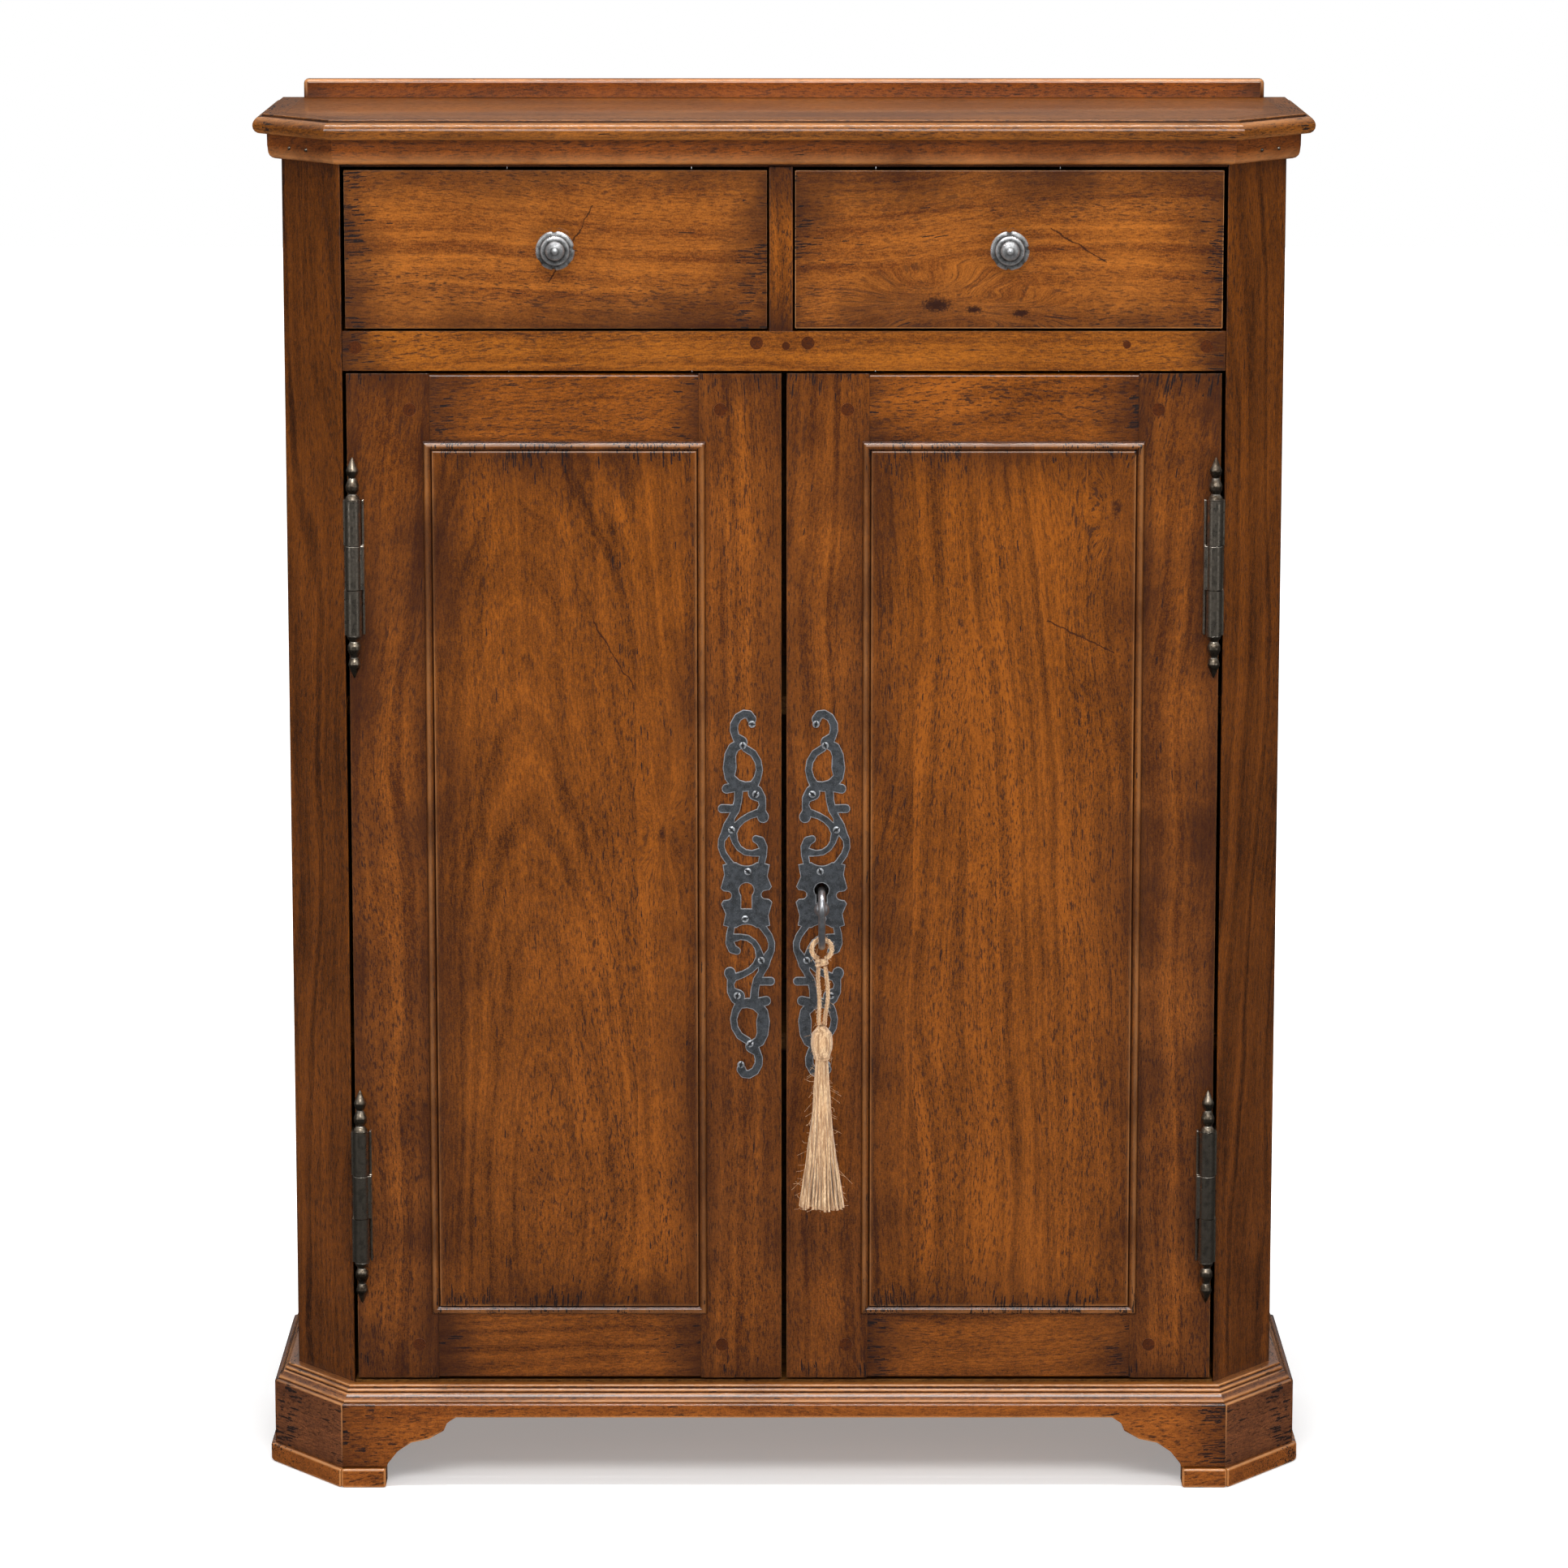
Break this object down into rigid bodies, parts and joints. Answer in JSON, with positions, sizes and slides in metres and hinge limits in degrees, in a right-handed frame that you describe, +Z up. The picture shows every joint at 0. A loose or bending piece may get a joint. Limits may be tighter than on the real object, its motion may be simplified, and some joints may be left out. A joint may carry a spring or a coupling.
{
  "type": "side cabinet",
  "caption": "Shallow walnut side cabinet with canted corners, paired drawers over paired panelled doors, pierced keyhole plates, key with tassel and bracket feet.",
  "frame": {"origin": "on the floor, under the middle of the overall box, cords and tassel left out", "axes": "+Z up, the doors and drawers face -Y, +X to the right seen from the front"},
  "size_m": [0.918, 0.35, 1.219],
  "materials": {
    "walnut_front": "satin varnish over brown stain",
    "walnut_carcass": "satin varnish over dark brown stain",
    "walnut_inside": "matt wax over light stain",
    "walnut_peg": "end grain, dark stain",
    "black_iron": "burnished black with bright worn edges",
    "antique_steel": "aged, rubbed bright on the high spots",
    "key_iron": "tumbled grey",
    "lock_steel": "dark bronze lacquer",
    "brass_bolt": "dull",
    "jute": "natural fibre"
  },
  "bodies": {
    "root": {"top_slab": "walnut_front", "gallery_rail": "walnut_front", "cornice": "walnut_carcass", "top_rail": "walnut_carcass", "corner_post_left": "walnut_carcass", "corner_post_right": "walnut_carcass", "side_panel_left": "walnut_carcass", "side_panel_right": "walnut_carcass", "back_boards": "walnut_inside", "bottom_board": "walnut_inside", "shelf_upper": "walnut_inside", "shelf_lower": "walnut_inside", "shelf_cleats": "walnut_inside", "mid_rail": "walnut_front", "drawer_divider": "walnut_front", "drawer_runners": "walnut_inside", "carcass_pegs": "walnut_peg", "base_front": "walnut_front", "base_cants": "walnut_carcass", "base_sides": "walnut_carcass", "base_back": "walnut_inside", "base_moulding": "walnut_front", "foot_pads": "walnut_carcass", "hinge_frame_leaves": "antique_steel", "hinge_pins": "antique_steel"},
    "left_drawer": {"left_drawer_front": "walnut_front", "left_drawer_sides": "walnut_inside", "left_drawer_back": "walnut_inside", "left_drawer_bottom": "walnut_inside", "left_drawer_knob": "antique_steel"},
    "right_drawer": {"right_drawer_front": "walnut_front", "right_drawer_sides": "walnut_inside", "right_drawer_back": "walnut_inside", "right_drawer_bottom": "walnut_inside", "right_drawer_knob": "antique_steel"},
    "left_door": {"left_door_hinge_stile": "walnut_front", "left_door_meeting_stile": "walnut_front", "left_door_rails": "walnut_front", "left_door_panel": "walnut_front", "left_door_pegs": "walnut_peg", "left_hinge_leaves": "antique_steel", "left_escutcheon": "black_iron", "bolt_keeper": "lock_steel", "bolt_plates": "lock_steel"},
    "right_door": {"right_door_hinge_stile": "walnut_front", "right_door_meeting_stile": "walnut_front", "right_door_rails": "walnut_front", "right_door_panel": "walnut_front", "right_door_pegs": "walnut_peg", "right_hinge_leaves": "antique_steel", "right_escutcheon": "black_iron", "lock_case": "lock_steel"},
    "lock_bolt": {"lock_bolt": "brass_bolt"},
    "upper_bolt": {"upper_bolt": "brass_bolt"},
    "lower_bolt": {"lower_bolt": "brass_bolt"},
    "key": {"key": "key_iron"},
    "cord_loop": {"cord_loop": "jute"},
    "tassel": {"cord_left": "jute", "cord_right": "jute", "tassel": "jute"}
  },
  "joints": [
    {"name": "left_door_hinge", "type": "hinge", "parent": "root", "child": "left_door", "pos_m": [-0.3708, -0.1135, 0.539], "axis": [0, 0, -1], "range_deg": [0, 180]},
    {"name": "right_door_hinge", "type": "hinge", "parent": "root", "child": "right_door", "pos_m": [0.3708, -0.1135, 0.539], "axis": [0, 0, 1], "range_deg": [0, 180]},
    {"name": "left_drawer_slide", "type": "slide", "parent": "root", "child": "left_drawer", "axis": [0, -1, 0], "range_m": [0, 0.17]},
    {"name": "right_drawer_slide", "type": "slide", "parent": "root", "child": "right_drawer", "axis": [0, -1, 0], "range_m": [0, 0.17]},
    {"name": "key_turn", "type": "hinge", "parent": "right_door", "child": "key", "pos_m": [0.0327, -0.093, 0.533], "axis": [0, -0.9659, -0.2588], "range_deg": [0, 90]},
    {"name": "lock_bolt_throw", "type": "slide", "parent": "right_door", "child": "lock_bolt", "axis": [-1, 0, 0], "range_m": [0, 0.014]},
    {"name": "upper_bolt_slide", "type": "slide", "parent": "left_door", "child": "upper_bolt", "axis": [0, 0, 1], "range_m": [0, 0.012]},
    {"name": "lower_bolt_slide", "type": "slide", "parent": "left_door", "child": "lower_bolt", "axis": [0, 0, -1], "range_m": [0, 0.012]},
    {"name": "cord_loop_hang", "type": "hinge", "parent": "key", "child": "cord_loop", "pos_m": [0.0327, -0.15282, 0.49262], "axis": [0, -0.9659, -0.2588], "range_deg": [-90, 0]},
    {"name": "tassel_swing", "type": "hinge", "parent": "cord_loop", "child": "tassel", "pos_m": [0.0327, -0.153, 0.479], "axis": [0, -1, 0], "range_deg": [-45, 45]}
  ],
  "couplings": [
    {"joint": "lock_bolt_throw", "follows": "key_turn", "m_per_rad": 0.0089127},
    {"joint": "cord_loop_hang", "follows": "key_turn", "ratio": -1}
  ]
}
